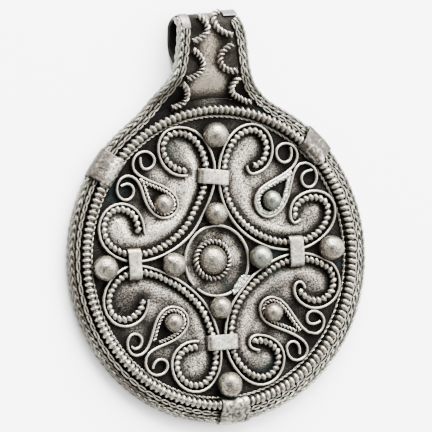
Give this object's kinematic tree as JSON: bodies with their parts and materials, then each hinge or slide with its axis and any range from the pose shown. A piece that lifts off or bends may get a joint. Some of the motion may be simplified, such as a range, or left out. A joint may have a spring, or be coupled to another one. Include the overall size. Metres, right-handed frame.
{
  "type": "pendant",
  "caption": "Round silver filigree pendant: wire scrolls, teardrops and granules on a plate with a plaited rim, and a strip folded back into a bail that hangs on a cord.",
  "frame": {"origin": "centre of the disc on its flat back", "axes": "+X to the right, +Y from the disc to the bail, +Z out of the decorated face"},
  "size_m": [0.0486, 0.061, 0.005],
  "materials": {
    "silver_sheet": "worn, darkened silver sheet with a fine hammered grain and black recesses",
    "silver_wire": "silver wire, rubbed bright on top and dark between the strands",
    "silver_granule": "satin silver balls, bright on top and brownish low down"
  },
  "bodies": {
    "root": {"base_plate": "silver_sheet", "bail_strip": "silver_sheet", "rim_braid": "silver_wire", "rim_twisted_pair": "silver_wire", "rim_beaded_wire": "silver_wire", "rim_inner_wire": "silver_wire", "scroll_upper_left": "silver_wire", "scroll_upper_right": "silver_wire", "scroll_lower_left": "silver_wire", "scroll_lower_right": "silver_wire", "beaded_upper_left": "silver_wire", "beaded_upper_right": "silver_wire", "beaded_lower_left": "silver_wire", "beaded_lower_right": "silver_wire", "teardrop_upper_left": "silver_wire", "teardrop_upper_right": "silver_wire", "teardrop_lower_left": "silver_wire", "teardrop_lower_right": "silver_wire", "teardrop_twist_upper_left": "silver_wire", "teardrop_twist_upper_right": "silver_wire", "teardrop_twist_lower_left": "silver_wire", "teardrop_twist_lower_right": "silver_wire", "granule_top": "silver_granule", "granule_left": "silver_granule", "granule_right": "silver_granule", "granule_bottom": "silver_granule", "granule_inner_top": "silver_granule", "granule_inner_left": "silver_granule", "granule_inner_right": "silver_granule", "granule_inner_bottom": "silver_granule", "granule_drop_upper_left": "silver_granule", "granule_drop_upper_right": "silver_granule", "granule_drop_lower_left": "silver_granule", "granule_drop_lower_right": "silver_granule", "centre_boss": "silver_granule", "centre_rope_ring": "silver_wire", "centre_ring": "silver_wire", "solder_patch": "silver_sheet", "band_top": "silver_sheet", "band_left": "silver_sheet", "band_right": "silver_sheet", "band_bottom": "silver_sheet", "rim_clamp_upper_left": "silver_sheet", "rim_clamp_upper_right": "silver_sheet", "rim_clamp_bottom": "silver_sheet", "bail_cap_left": "silver_sheet", "bail_cap_right": "silver_sheet", "neck_rope_left_upper": "silver_wire", "neck_rope_left_middle": "silver_wire", "neck_rope_left_lower": "silver_wire", "neck_rope_right_upper": "silver_wire", "neck_rope_right_middle": "silver_wire", "neck_rope_right_lower": "silver_wire"}
  },
  "joints": []
}
